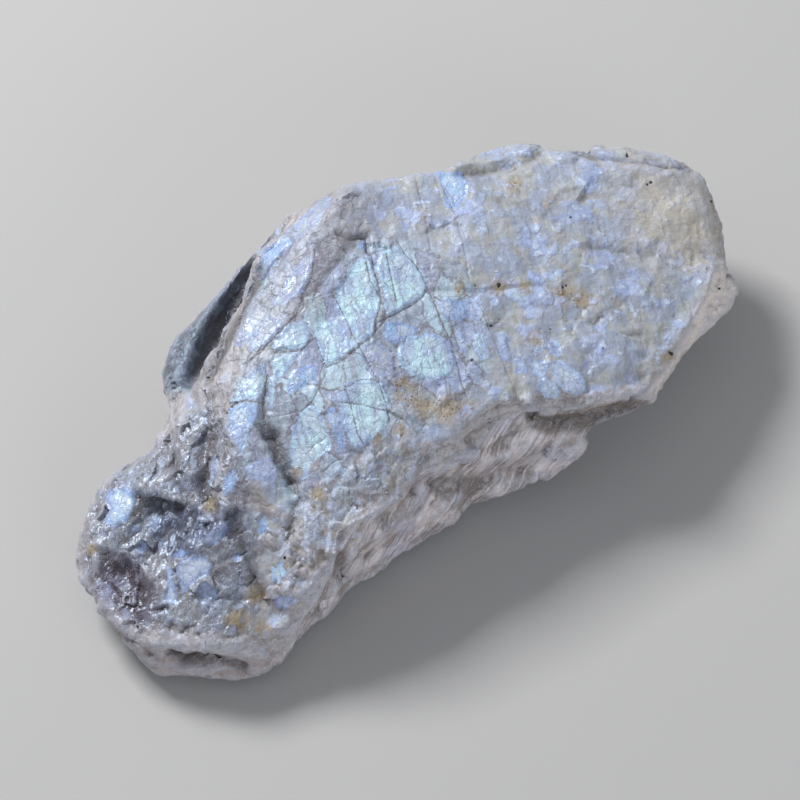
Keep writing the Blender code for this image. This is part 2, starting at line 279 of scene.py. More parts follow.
CRACKS = [
    [(-58, 92), (-53, 82), (-46, 68), (-40, 55), (-35, 46), (-25, 28), (-18, 15), (-12, -2), (-8, -17)],
    [(-73, 58), (-70, 48), (-66, 37), (-62, 28)],
    [(3, 123), (11, 115), (18, 105), (23, 93), (19, 86), (11, 80), (0, 74), (-10, 69), (-18, 65)],
    [(-12, 67), (-23, 54), (-37, 42), (-50, 32), (-63, 27)],
    [(-24, 121), (-22, 108), (-17, 93), (-16, 82), (-20, 68), (-20, 58), (-26, 49), (-35, 47)],
    [(-2, 133), (3, 123)],
    [(-58, 136), (-46, 134), (-33, 137), (-27, 135), (-28, 127), (-24, 121)],
    [(-72, 125), (-73, 112), (-76, 100), (-82, 88), (-81, 78), (-96, 64), (-108, 51), (-120, 39),
        (-130, 31)],
    [(-82, 87), (-87, 74), (-92, 68)],
    [(-114, 32), (-112, 12), (-115, -2), (-112, -21)],
    [(-61, 24), (-68, 9), (-74, -2), (-83, -10)],
    [(-46, 12), (-40, -8), (-35, -29), (-27, -43)],
    [(-29, 115), (-25, 100), (-18, 88)],
    [(-12, 123), (-8, 104), (-3, 83)],
    [(-52, -2), (-33, -4), (-18, -8), (-7, -10)],
    [(-49, 7), (-33, 17), (-17, 16)],
    [(-62, -32), (-72, -38), (-77, -46)],
    [(-46, -49), (-55, -52), (-63, -60)],
    [(-143, -3), (-129, 0), (-115, -2)],
    [(-222, -86), (-210, -83), (-198, -84), (-190, -88)],
    [(-108, 40), (-96, 41), (-83, 42), (-75, 49)],
    [(-190, -135), (-187, -148), (-182, -165)],
    [(33, 183), (46, 154), (52, 133), (58, 98)],
    [(25, 90), (35, 65), (46, 42), (51, 17), (58, -2)],
    [(65, 83), (77, 54), (88, 27), (100, 0)],
    [(12, 185), (20, 154), (25, 125)],
]
# Ridges and valleys with sharp beds: rise and half width in millimetres, and line.
FORMS = [
    (0.45, 1.0, [(223, 122), (246, 113), (260, 106), (255, 87), (241, 62), (228, 40), (211, 12), (202, 6)]),
    (-0.25, 0.8, [(162, 128), (197, 123), (223, 119), (246, 115)]),
    (0.6, 0.8, [(108, -2), (118, -8), (148, -7), (172, 2), (197, 6), (211, 0)]),
    (-0.5, 1.2, [(116, -17), (130, -19), (150, -18), (175, -13), (204, -9)]),
    (-0.4, 0.7, [(148, 209), (162, 205), (197, 202), (221, 197), (243, 194)]),
    (0.3, 0.7, [(47, 195), (75, 198), (102, 205), (111, 212)]),
    (-0.3, 0.7, [(48, 190), (77, 192), (103, 200), (117, 207)]),
    (-0.12, 0.4, [(25, 91), (59, 91), (84, 93), (123, 96), (140, 88), (158, 77)]),
    (-0.15, 0.9, [(-27, 138), (-46, 123), (-76, 84), (-98, 54), (-132, 28)]),
    (0.22, 0.7, [(-78, 138), (-74, 118), (-85, 88), (-102, 77)]),
    (-0.3, 0.5, [(-52, 140), (-40, 136), (-28, 137), (-27, 127)]),
    (-0.35, 0.7, [(-118, 32), (-112, 20), (-115, -19), (-110, -29)]),
    (-0.5, 0.9, [(-108, -29), (-100, -43), (-90, -68)]),
    (0.25, 0.8, [(-42, 173), (-62, 154), (-83, 133), (-115, 92), (-137, 50), (-157, 7)]),
    (-0.6, 0.8, [(-221, -82), (-210, -84), (-198, -84), (-187, -92)]),
    (0.35, 1.0, [(-215, -73), (-207, -70), (-199, -72)]),
    (-0.5, 1.1, [(-192, -49), (-189, -64), (-182, -77)]),
    (0.35, 1.0, [(-200, -32), (-202, -47), (-199, -64)]),
    (-0.6, 1.0, [(-160, -33), (-164, -54), (-168, -74), (-161, -86), (-156, -91)]),
    (0.4, 1.2, [(-150, -58), (-148, -86), (-146, -101), (-158, -117), (-168, -123)]),
    (-0.5, 1.0, [(-139, -98), (-134, -116), (-129, -130), (-122, -145), (-114, -165)]),
    (-0.4, 0.8, [(-107, -30), (-102, -49), (-92, -64), (-88, -77)]),
    (-0.3, 0.8, [(-88, -88), (-90, -101), (-95, -111)]),
    (-0.9, 1.6, [(-163, 24), (-158, 40), (-148, 65), (-135, 88), (-124, 108)]),
    (0.55, 0.9, [(23, -58), (-5, -81), (-38, -103), (-60, -142), (-85, -180), (-102, -218)]),
    (-0.5, 0.8, [(20, -58), (17, -66), (12, -76)]),
    (-0.5, 1.0, [(-48, -112), (-49, -128), (-47, -146)]),
    (-0.3, 1.1, [(29, -72), (38, -75), (58, -78), (75, -74)]),
    (0.5, 0.9, [(23, -57), (40, -52), (59, -42), (85, -17), (110, -4)]),
    (-0.5, 0.9, [(21, -52), (27, -67), (33, -77)]),
    (-0.35, 1.2, [(40, -71), (72, -68), (98, -55), (139, -36), (162, -22)]),
    (0.3, 1.0, [(58, -83), (98, -73), (133, -58), (154, -43)]),
    (0.8, 1.2, [(-270, -152), (-252, -172), (-232, -187), (-218, -199), (-200, -205), (-166, -206),
        (-137, -208), (-117, -213)]),
    (-1.1, 0.8, [(-192, -211), (-180, -216), (-161, -215), (-146, -220), (-132, -226)]),
    (-0.4, 1.8, [(-243, -138), (-234, -142), (-225, -150), (-218, -160)]),
    (0.35, 1.0, [(-252, -121), (-222, -130), (-210, -150)]),
    (-0.3, 0.9, [(-185, -100), (-200, -117), (-212, -133)]),
    (-0.25, 0.7, [(-170, -93), (-182, -112), (-196, -133)]),
    (-0.3, 0.8, [(-208, -90), (-217, -108), (-233, -121)]),
    (-0.25, 0.8, [(-167, -158), (-154, -167), (-133, -167)]),
    (-0.35, 1.0, [(-50, -133), (-65, -167), (-79, -200)]),
    (-0.3, 1.0, [(-7, -93), (-25, -121), (-46, -158)]),
    (0.25, 0.9, [(-21, -108), (-40, -142), (-58, -175)]),
    (0.18, 0.8, [(117, 154), (133, 175), (158, 179), (183, 167)]),
    (-0.18, 0.8, [(83, 167), (108, 162), (133, 150)]),
    (0.15, 0.7, [(100, 58), (121, 46), (133, 17)]),
    (-0.15, 0.7, [(146, 58), (158, 33), (160, 7)]),
    (0.15, 0.7, [(167, 83), (188, 58), (200, 42)]),
]
# Dark mineral specks: across, up and radius in millimetres.
SPECKS = [
    (6.3, 9.6, 0.17), (8.3, 9.6, 0.24), (13.7, 9.4, 0.2), (14.0, 9.6, 0.17), (7.7, 6.2, 0.17),
    (13.3, 12.5, 0.12), (14.3, 15.3, 0.14), (15.2, 12.0, 0.1), (21.0, 18.2, 0.18), (20.7, 18.0, 0.13),
    (19.0, 20.7, 0.22), (22.0, 19.7, 0.13), (26.1, 16.6, 0.15), (26.7, 9.2, 0.2), (21.3, -0.5, 0.2),
    (3.1, 3.2, 0.24), (-0.3, 2.0, 0.2), (9.7, -5.3, 0.14), (19.0, 7.7, 0.12), (17.1, 4.2, 0.14),
    (12.7, 5.8, 0.14), (22.5, 3.8, 0.22), (22.3, 3.0, 0.15), (-9.6, -13.3, 0.15), (6.1, 3.3, 0.14),
]


# Lines are drawn in tenths of a millimetre. No distance counts past FAR, or past the margin.
FAR = 9.0
MARGIN = 2.0
TENTHS = 10
SHARPNESS = 1.3


def line_distance(points, line):
    """How far each point of the face map is from a line of straight runs."""
    nearest = np.full(len(points), FAR)
    corners = np.array(line) / TENTHS
    for start, end in zip(corners[:-1], corners[1:]):
        run = end - start
        share = np.clip((points - start) @ run / (run @ run), 0, 1)
        nearest = np.minimum(nearest, np.linalg.norm(points - start - share[:, None] * run, axis=1))
    return nearest


def outline_depth(points, outline):
    """How far inside an outline each point of the face map lies; outside is negative."""
    closed = [*outline, outline[0]]
    corners = np.array(closed) / TENTHS
    inside = np.zeros(len(points), bool)
    for (x, y), (next_x, next_y) in zip(corners[:-1], corners[1:]):
        if y != next_y:
            spans = (y > points[:, 1]) != (next_y > points[:, 1])
            inside ^= spans & (points[:, 0] < x + (points[:, 1] - y) * (next_x - x) / (next_y - y))
    nearest = line_distance(points, closed)
    return np.where(inside, nearest, -nearest)


def points_near(points, line):
    """The numbers of the points in a line's box, or within the margin round it."""
    corners = np.array(line) / TENTHS
    low, high = corners.min(axis=0) - MARGIN, corners.max(axis=0) + MARGIN
    return np.flatnonzero(((points > low) & (points < high)).all(axis=1))


def plate_depths(points):
    """Each point's depth in the plate it is deepest in, and that plate's number."""
    depth = np.full(len(points), -MARGIN)
    owner = np.zeros(len(points), int)
    for number, (_, outline) in enumerate(PLATES):
        near = points_near(points, outline)
        found = outline_depth(points[near], outline)
        better = found > depth[near]
        depth[near[better]] = found[better]
        owner[near[better]] = number
    return depth, owner


def crack_distance(points):
    distance = np.full(len(points), MARGIN)
    for line in CRACKS:
        near = points_near(points, line)
        distance[near] = np.minimum(distance[near], line_distance(points[near], line))
    return distance


def form_height(points):
    """The height that ridges and valleys add, and how far the nearest of their lines is."""
    total = np.zeros(len(points))
    nearest = np.full(len(points), FAR)
    for rise, reach, line in FORMS:
        near = points_near(points, line)
        distance = line_distance(points[near], line)
        total[near] += rise * np.clip(1 - distance / reach, 0, 1) ** SHARPNESS
        nearest[near] = np.minimum(nearest[near], distance)
    return total, nearest


def speck_depth(points):
    depth = np.full(len(points), -1.0)
    for x, y, radius in SPECKS:
        depth = np.maximum(depth, 0.6 * radius - np.linalg.norm(points - (x, y), axis=1))
    return depth


# The lump behind the crest: a low rounded piece of the same feldspar, parted from the crest by a
# groove. Its skin is levelled and raised to a dome; its corners move only along the line of sight.
LUMP_OUTLINE = [
    (-212, 2), (-209, 54), (-174, 93), (-134, 123), (-124, 116), (-128, 97), (-144, 66), (-168, 17),
    (-178, 4),
]
DOME_RISE = 1.1
DOME_SHOULDER = 2.0
LEVELLING_ROUNDS = 150
LUMP_SEEN_FROM = -0.3

ends = mesh_edges()
places = vertex_values("co", 3)
inside = outline_depth(face_map(places), LUMP_OUTLINE)
free = (inside > 0) & (faces_view() > LUMP_SEEN_FROM)
nearness = (places @ np.array(towards)) / MM
level = nearness.copy()
for _ in range(LEVELLING_ROUNDS):
    level = np.where(free, neighbour_mean(level[:, None], ends)[:, 0], nearness)
dome = DOME_RISE * ramp(inside, 0.0, DOME_SHOULDER) * free
places += np.outer((level + dome - nearness) * MM, np.array(towards))
place_corners(places)


# The zones of the stone: smooth cleavage in the middle of its face, and rougher breaks round it.
# The mesh is cut finer in the rough ones, and along the plates' borders, the cracks and the specks.
# First the net of flashing cells in the middle of the face.
MOSAIC_OUTLINE = [
    (-125, 125), (-83, 154), (-46, 129), (-17, 137), (21, 125), (58, 96), (75, 58), (73, 12), (33, -21),
    (-4, -33), (-29, -46), (-54, -83), (-92, -88), (-125, -67), (-146, -75), (-162, -33), (-154, 8),
    (-138, 67),
]
# The rough, grooved west end.
WEST_OUTLINE = [
    (-205, -40), (-160, 5), (-145, -20), (-130, -60), (-120, -110), (-115, -200), (-230, -190),
    (-270, -145), (-265, -90), (-230, -50),
]
# The slope between that end and the tall wall, splintered too but less.
SLOPE_OUTLINE = [
    (-60, -65), (-25, -38), (35, -33), (22, -60), (-35, -118), (-85, -165), (-107, -190), (-110, -120),
    (-90, -85),
]
DETAIL_FROM = 0.05
UNCUT = 1.0

for _ in range(2):
    points = face_map(vertex_values("co", 3))
    depth, _ = plate_depths(points)
    near_detail = (np.abs(depth) < BORDER_REACH) | (crack_distance(points) < BORDER_REACH)
    near_detail |= speck_depth(points) > -BORDER_REACH
    near_detail |= form_height(points)[1] < BORDER_REACH
    in_west = np.maximum(outline_depth(points, WEST_OUTLINE), outline_depth(points, SLOPE_OUTLINE)) > 0
    limit = np.where(near_detail, BORDER_EDGE, np.where(in_west, WEST_EDGE, UNCUT))
    split_edges(np.where(faces_view() > DETAIL_FROM, limit, UNCUT))


# The broken surface: feldspar splits along its layers into flat plates and splinters across them
# into silky and stepped walls. Every height here is in millimetres and moves the skin along its
# own normal.
LAYER_NORMAL = Vector((0.2, 0.05, 1.0)).normalized()
# The tall broken wall below the crest, whose silky fibres rise steeply to the right.
FRONT_NORMAL = Vector((-0.05, -0.99, 0.13)).normalized()
SILK_LINE = (0.55, 0.83)
FRONT_OUTLINE = [
    (23, -58), (-5, -81), (-38, -103), (-60, -142), (-85, -180), (-102, -218), (-95, -240), (50, -180),
    (120, -100), (200, -60), (230, -20), (213, -2), (197, 4), (172, 0), (148, -9), (118, -10), (108, -4),
    (85, -17), (59, -42), (40, -52),
]
DRAW_SEED = 11
chance = np.random.default_rng(DRAW_SEED)


def noise_at(places, size, kind="fractal", seed=0.0):
    """A noise field over the stone; places and size are in millimetres."""
    scaled = places / size + seed
    if kind == "fractal":
        return np.array([noise.fractal(Vector(p), 1.0, 2.0, 4) for p in scaled])
    return np.array([noise.noise(Vector(p)) for p in scaled])


def stretched(places, direction, factor):
    """Places pulled apart along one direction, or pressed together by a factor under one."""
    line = np.array(direction)
    return places + (factor - 1) * np.outer(places @ line, line)


def chips(places, size, slope, step):
    """Heights of a surface broken into flat chips of about one size, each with a tilt and a rise."""
    low, high = places.min(axis=0) - size, places.max(axis=0) + size
    count = int(np.prod((high - low) / size))
    centres = chance.uniform(low, high, (count, 3))
    tree = kdtree.KDTree(count)
    for number, centre in enumerate(centres):
        tree.insert(centre, number)
    tree.balance()
    nearest = np.array([tree.find(place)[1] for place in places])
    tilt = chance.normal(0, slope, (count, 3))[nearest]
    rise = chance.uniform(-step, step, count)[nearest]
    return rise + ((places - centres[nearest]) * tilt).sum(axis=1)


def along(normal, run, rise):
    """The direction in a face that shows in the view as a line of this run and rise."""
    line = across * run + upward * rise
    return (line - towards * (line.dot(normal) / towards.dot(normal))).normalized()


# Masks from 0 to 1 say where the skin is seen, and where each kind of break lies.
SEEN_ROUNDS = 10

places = vertex_values("co", 3)
normals = vertex_values("normal", 3)
points = face_map(places)
body = places / MM
ends = mesh_edges()
seen = ramp(faces_view(), 0.0, 0.2)[:, None]
for _ in range(SEEN_ROUNDS):
    seen = neighbour_mean(seen, ends)
seen = seen[:, 0]
flatness = np.abs(normals @ np.array(LAYER_NORMAL))
wall = 1 - ramp(flatness, 0.62, 0.86)
west = ramp(outline_depth(points, WEST_OUTLINE), -0.8, 0.8) * seen
front = ramp(outline_depth(points, FRONT_OUTLINE), -0.2, 0.2) * seen
slope = ramp(outline_depth(points, SLOPE_OUTLINE), -1.0, 1.0) * seen * (1 - front) * (1 - west)
side_wall = wall * (1 - front)
off_base = ramp(places[:, 2] / MM, 0.05, 1.2)

depth, owner = plate_depths(points)
depth = np.where(seen > 0.5, depth, -MARGIN)
cracks = np.where(seen > 0.5, crack_distance(points), MARGIN)
specks = np.where(seen > 0.5, speck_depth(points), -1.0)

# Plates are pressed flat, and each stands a little higher or lower than its neighbours.
PLATE_STEP = 0.06
PLATE_SHARE = 0.6
FLATTENING = 0.8
FEWEST_CORNERS = 6
LEAST_LEAN = 0.5
FLAT_LIMIT = 0.45
plate_rise = np.array([PLATE_STEP * math.sin(2.4 * number) for number in range(len(PLATES))])
on_plate = ramp(depth, -0.05, 0.2)
flat_move = np.zeros(len(body))
for number in range(len(PLATES)):
    inside = np.flatnonzero((owner == number) & (depth > 0))
    near = np.flatnonzero((owner == number) & (depth > -0.3))
    if len(inside) < FEWEST_CORNERS:
        continue
    middle = body[inside].mean(axis=0)
    facing = np.linalg.svd(body[inside] - middle, full_matrices=False)[2][2]
    lean = normals[near] @ facing
    lean = np.where(np.abs(lean) < LEAST_LEAN, np.where(lean < 0, -LEAST_LEAN, LEAST_LEAN), lean)
    flat_move[near] = np.clip((middle - body[near]) @ facing / lean, -FLAT_LIMIT, FLAT_LIMIT)
height = PLATE_SHARE * on_plate * (FLATTENING * flat_move + plate_rise[owner])
forms = form_height(points + 0.16 * noise_at(body, 1.2, "noise")[:, None])[0]
height += forms * seen * (1 - 0.2 * np.maximum(west, wall))
between = ramp(-depth, 0.0, 0.15) * ramp(depth, -0.5, -0.2)
height -= 0.02 * between * seen

# Broken walls show the edges of the stone's layers; the west end is grooved and splintered.
wobble = np.stack([noise_at(body, 1.6, "noise", seed) for seed in (1.0, 5.0, 9.0)], axis=1)
warped = body + 0.5 * wobble
loose = 1 - 0.85 * on_plate
layered = stretched(warped, LAYER_NORMAL, 3.5)
height += side_wall * loose * chips(layered, size=4.0, slope=0.035, step=0.06)
height += side_wall * loose * 0.1 * noise_at(layered, 3.0)
height += side_wall * loose * 0.05 * noise_at(stretched(body, LAYER_NORMAL, 5.0), 1.6)
silky = stretched(warped, along(FRONT_NORMAL, *SILK_LINE), 0.3)
threaded = stretched(body, along(FRONT_NORMAL, *SILK_LINE), 0.2)
height += front * chips(silky, size=2.0, slope=0.11, step=0.05)
height += front * 0.55 * noise_at(silky, 3.0, "noise", seed=8.0)
height += front * 0.06 * noise_at(threaded, 0.7, "noise", seed=3.0)
grooved = stretched(warped, along(LAYER_NORMAL, *SILK_LINE), 0.3)
height += west * loose * chips(grooved, size=1.3, slope=0.14, step=0.03)
height += west * loose * 0.25 * (np.abs(noise_at(grooved, 1.1, "noise", seed=2.0)) - 0.2)
height += west * loose * 0.1 * np.abs(noise_at(grooved, 0.45, "noise", seed=6.0))
height += slope * loose * chips(grooved, size=1.4, slope=0.1, step=0.03)
height += slope * loose * 0.16 * (np.abs(noise_at(grooved, 0.9, "noise", seed=12.0)) - 0.2)
calm = loose * (1 - 0.6 * np.maximum(np.maximum(wall, west), front))
height += calm * chips(warped, size=2.6, slope=0.028, step=0.015)
height += calm * chips(warped, size=1.1, slope=0.022, step=0.0)
height += loose * (1 - 0.6 * west) * 0.07 * noise_at(body, 2.0, seed=7.0)
hummocks = 1 - np.abs(noise_at(warped, 1.3, "noise", seed=4.0))
height += calm * 0.1 * (hummocks ** 2 - 0.7)
height += loose * 0.012 * noise_at(body, 0.6, seed=11.0)
mosaic = ramp(outline_depth(points, MOSAIC_OUTLINE), -0.8, 0.8)
height -= (0.03 + 0.03 * mosaic) * np.exp(-(cracks / 0.09) ** 2) * seen
height -= 0.05 * ramp(specks, -0.05, 0.05)

body += normals * (height * off_base)[:, None]
body[:, 2] = np.maximum(body[:, 2], 0)
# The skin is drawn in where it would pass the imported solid's box.
low, high = np.array(cad_box[0]) / MM, np.array(cad_box[1]) / MM
for axis in (0, 1):
    body[:, axis] *= min(1.0, low[axis] / body[:, axis].min(), high[axis] / body[:, axis].max())
body[:, 2] *= min(1.0, high[2] / body[:, 2].max())
place_corners(body * MM)


# What the finish needs to know is kept on the skin's corners: how deep each lies in a plate, a
# crack or a zone, and how its plate flashes. The flashes come from thin layers inside the feldspar;
# their sheen is painted into the colour.
FLASHES = {
    "blue": (0.36, 0.6, 0.94),
    "cyan": (0.62, 0.91, 1.0),
    "cream": (0.41, 0.43, 0.47),
    "lilac": (0.54, 0.61, 0.86),
    "pearl": (0.66, 0.8, 1.0),
}
# Places with a colour of their own, or with painted shade or painted light: the softness of the edge,
# and the outline on the face.
ZONES = {
    "flank": (0.4, [(-45, 178), (-83, 136), (-110, 93), (-132, 52), (-153, 6), (-133, 16), (-98, 54),
        (-75, 86), (-46, 124), (-27, 140), (-32, 170)]),
    "lump": (0.5, [(-205, 5), (-200, 50), (-168, 85), (-133, 116), (-128, 96), (-155, 65), (-175, 10)]),
    "groove": (0.7, [(-162, 26), (-157, 44), (-147, 66), (-134, 88), (-124, 106), (-118, 115), (-115, 104),
        (-127, 83), (-140, 63), (-150, 42), (-154, 24)]),
    "yellow": (2.8, [(195, 205), (255, 187), (280, 145), (277, 112), (235, 115), (200, 130), (185, 165)]),
    "brown": (0.8, [(-78, 175), (-45, 183), (-10, 170), (-20, 140), (-45, 132), (-52, 115), (-60, 90),
        (-75, 63), (-78, 88), (-70, 115), (-72, 140)]),
    "slope": (1.0, SLOPE_OUTLINE),
    "mosaic": (0.8, MOSAIC_OUTLINE),
    "shade": (0.8, [(-254, -136), (-240, -128), (-222, -134), (-205, -156), (-203, -178), (-218, -189),
        (-238, -176), (-253, -157)]),
    "bevel": (0.4, [(260, 106), (277, 110), (287, 90), (270, 57), (245, 17), (213, -7), (204, 2), (229, 40),
        (242, 62), (255, 87)]),
    "shelf": (0.35, [(110, -4), (121, -10), (145, -13), (164, -6), (183, -1), (210, 0), (212, -8),
        (190, -17), (167, -20), (146, -26), (125, -29), (106, -22)]),
    "slate_shade": (0.5, [(-212, -82), (-185, -89), (-150, -89), (-132, -94), (-137, -112), (-163, -123),
        (-170, -132), (-193, -133), (-208, -117)]),
    "rim": (0.6, [(-242, -182), (-196, -213), (-115, -217), (-83, -200), (-107, -242), (-137, -243),
        (-200, -243), (-233, -217)]),
}
# Stains of iron: across, up and radius in millimetres.
STAINS = [
    (0.2, 1.3, 0.8), (0.6, 0.2, 1.3), (2.2, -0.7, 1.4), (4.2, -1.0, 1.6), (5.4, -0.8, 1.0),
    (0.3, -2.6, 1.2), (-1.7, -3.5, 0.6), (-3.4, -4.8, 0.5), (8.3, 9.5, 0.9), (10.5, 9.3, 0.8),
    (13.7, 9.2, 1.3), (15.5, 8.3, 0.9), (5.0, 9.2, 0.7), (-12.0, -16.5, 1.1), (-13.5, -18.5, 1.2),
    (-11.3, -19.3, 0.9), (-6.7, -8.0, 1.0), (-8.5, -6.0, 0.6), (-15.8, -8.9, 0.9), (22.3, 3.5, 0.6),
    (11.5, 5.0, 0.9), (9.5, 18.0, 0.9), (12.5, 16.5, 0.7), (-25.8, -12.5, 0.6), (-24.0, -19.8, 0.9),
]


def keep(name, values, kind="FLOAT", field="value"):
    """Stores one number, or one colour, for each corner of the skin."""
    stored = stone.data.attributes.new(name, kind, "POINT").data
    stored.foreach_set(field, values.astype(np.float32).ravel())


HOLLOW_ROUNDS = 6


def hollows():
    """How far each place lies below its surroundings, in millimetres; ridges are negative."""
    level = body.copy()
    for _ in range(HOLLOW_ROUNDS):
        level = neighbour_mean(level, ends)
    return ((level - body) * vertex_values("normal", 3)).sum(axis=1)


tones = np.array([(*FLASHES[tone], 1) for tone, _ in PLATES])
keep("plate", np.clip(depth, -1, 1))
keep("flash", tones[owner], "FLOAT_COLOR", "color")
keep("crack", np.clip(cracks, 0, 1))
keep("speck", specks)
keep("hollow", hollows())
# Where the skin lies like the layers: there the finish paints glints.
keep("glint", ramp(vertex_values("normal", 3) @ np.array(LAYER_NORMAL), 0.86, 0.99))
keep("wall", side_wall)
keep("front", front)
# Valleys and ridges of the forms: painted shade in the folds, painted light on the ridges.
keep("fold_shade", np.clip(-forms / 0.5, 0, 1) * seen)
keep("ridge_light", np.clip(forms / 0.3 - 0.6, 0, 1) * seen)
keep("west", west)
for name, (softness, outline) in ZONES.items():
    keep(name, ramp(outline_depth(points, outline), -softness, softness) * seen)
stain = np.zeros(len(body))
for x, y, radius in STAINS:
    distance = np.linalg.norm(points - (x, y), axis=1)
    stain = np.maximum(stain, 1 - ramp(distance, 0.2 * radius, 1.3 * radius))
keep("stain", stain * seen)

SHARP_ANGLE = math.radians(50)
bpy.ops.object.shade_smooth_by_angle(angle=SHARP_ANGLE)
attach(stone, "root")
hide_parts("moonstone")


# The finish of the stone: a milky feldspar, grey-blue where it is clear and beige where it is not,
# with flakes and plates of cleavage that flash pale blue, fine lines of growth, brown cracks and
# ochre stains.
finish = bpy.data.materials.new("moonstone")
finish.use_nodes = True
stone.data.materials.append(finish)
tree = finish.node_tree
shader = tree.nodes["Principled BSDF"]


def node_of(kind, inputs, **settings):
    """Adds a node with its settings, and gives each named input a value or a link."""
    node = tree.nodes.new("ShaderNode" + kind)
    for name, value in settings.items():
        setattr(node, name, value)
    for name, value in inputs.items():
        if isinstance(value, bpy.types.NodeSocket):
            tree.links.new(value, node.inputs[name])
        else:
            node.inputs[name].default_value = value
    return node


def math_of(operation, first, second):
    return node_of("Math", {0: first, 1: second}, operation=operation).outputs[0]


times = partial(math_of, "MULTIPLY")
plus = partial(math_of, "ADD")
minus = partial(math_of, "SUBTRACT")
larger = partial(math_of, "MAXIMUM")


def step_of(value, low, high, bottom=0.0, top=1.0):
    """Runs smoothly from bottom to top while the value runs from low to high."""
    inputs = {"Value": value, "From Min": low, "From Max": high, "To Min": bottom, "To Max": top}
    return node_of("MapRange", inputs, interpolation_type="SMOOTHSTEP").outputs["Result"]


def thin_line(value, middle, outer, inner):
    """A line where the value passes the middle: 1 within the inner difference, 0 past the outer."""
    difference = node_of("Math", {0: minus(value, middle)}, operation="ABSOLUTE").outputs[0]
    return step_of(difference, outer, inner)


def kept(name, output="Fac"):
    return node_of("Attribute", {}, attribute_name=name).outputs[output]


def blend_of(mask, first, second, kind="MIX"):
    """Mixes two colours, each a link or three numbers."""
    first, second = [(*tint, 1) if isinstance(tint, tuple) else tint for tint in (first, second)]
    return node_of("Mix", {0: mask, 6: first, 7: second}, data_type="RGBA", blend_type=kind).outputs[2]


def paint(base, *layers):
    """Lays colours over the base one after the other, each where its mask says."""
    for mask, tint in layers:
        base = blend_of(mask, base, tint)
    return base


def vector_of(operation, first, second, output=0):
    return node_of("VectorMath", {0: first, 1: second}, operation=operation).outputs[output]


def cloud(place, size, detail=3.0, roughness=0.5):
    """A noise field with features of about this size in millimetres, around 0.5."""
    inputs = {"Vector": place, "Scale": 1 / size, "Detail": detail, "Roughness": roughness}
    return node_of("TexNoise", inputs).outputs["Fac"]


def cells(place, size, feature="F1", output="Distance"):
    inputs = {"Vector": place, "Scale": 1 / size}
    return node_of("TexVoronoi", inputs, feature=feature).outputs[output]


def cell_edge(place, size):
    return cells(place, size, "DISTANCE_TO_EDGE")


def cell_values(place, size):
    """Numbers from 0 to 1 that differ from cell to cell."""
    return node_of("SeparateColor", {0: cells(place, size, output="Color")}).outputs


def grain_place(spot, normal, line, pulls):
    """Coordinates that pull a texture along a line in a face, beside it, and along the normal."""
    long_axis = along(normal, *line)
    axes = (long_axis, normal.cross(long_axis), normal)
    parts = [times(vector_of("DOT_PRODUCT", spot, axis, "Value"), pull) for axis, pull in zip(axes, pulls)]
    return node_of("CombineXYZ", dict(zip("XYZ", parts))).outputs[0]


here = tree.nodes.new("ShaderNodeTexCoord").outputs["Object"]
plain_place = node_of("VectorMath", {0: here, "Scale": 1 / MM}, operation="SCALE").outputs[0]
shift = node_of("TexNoise", {"Vector": plain_place, "Scale": 1.1, "Detail": 3.0}).outputs["Color"]
shift = vector_of("SUBTRACT", shift, (0.5, 0.5, 0.5))


def swayed(spot, amount):
    """The place moved about by one shared noise, so that nothing drawn on it is regular."""
    move = node_of("VectorMath", {0: shift, "Scale": amount}, operation="SCALE").outputs[0]
    return vector_of("ADD", spot, move)


place = swayed(plain_place, 0.9)
crack_place = swayed(plain_place, 0.3)
scale_place = swayed(plain_place, 0.7)
silk_place = swayed(plain_place, 0.2)

# Ground: milky blue and beige clouds, parted by thin tan seams.
colour = blend_of(step_of(cloud(place, 2.2, 4.0), 0.44, 0.56), (0.38, 0.42, 0.53), (0.465, 0.465, 0.45))
seams = thin_line(cloud(place, 2.6, 3.0, 0.55), 0.5, 0.045, 0.005)


# Flakes: small soft patches that flash a stronger blue, between scales with rounded tops.
def scales(for_each_mm, smoothness):
    inputs = {"Vector": scale_place, "Scale": for_each_mm, "Smoothness": smoothness}
    return node_of("TexVoronoi", inputs, feature="SMOOTH_F1").outputs["Distance"]


patchy = cloud(place, 0.75, 4.0, 0.6)
region = cloud(plain_place, 3.5, 2.0)
cell_value = cell_values(crack_place, 1.0)[0]
tops = plus(times(scales(0.95, 0.35), 0.65), times(scales(2.3, 0.3), 0.35))
flaky = minus(cloud(place, 1.9), times(minus(0.55, region), 0.8))
flaky = minus(flaky, times(minus(tops, 0.4), 0.5))
flakes = times(step_of(flaky, 0.45, 0.56), step_of(cell_value, 0.1, 0.9, 0.6, 1.0))
# The flakes' flash is a painted sheen, and the tops of the scales are painted paler as a highlight.
flake_and_highlight_colour = blend_of(step_of(tops, 0.4, 0.2), (0.41, 0.5, 0.8), (0.74, 0.84, 1.0))
not_wall = minus(1.0, times(larger(kept("wall"), kept("front")), 0.85))

# Growth lines: fine bright and dark threads that cross the face steeply, in two directions.
threads = cloud(grain_place(place, LAYER_NORMAL, (0.29, -0.96), (0.1, 3.2, 0.6)), 1.0, 3.0, 0.6)
crossing = cloud(grain_place(place, LAYER_NORMAL, (0.95, 0.1), (0.12, 3.6, 0.6)), 1.0, 3.0, 0.6)
colour = paint(
    colour,
    (times(seams, 0.25), (0.36, 0.345, 0.28)),
    (times(flakes, times(not_wall, 0.9)), flake_and_highlight_colour),
    (step_of(threads, 0.52, 0.6, 0.0, 0.3), (0.46, 0.55, 0.76)),
    (step_of(threads, 0.46, 0.39, 0.0, 0.25), (0.25, 0.24, 0.28)),
    (step_of(crossing, 0.45, 0.38, 0.0, 0.22), (0.26, 0.25, 0.28)),
)

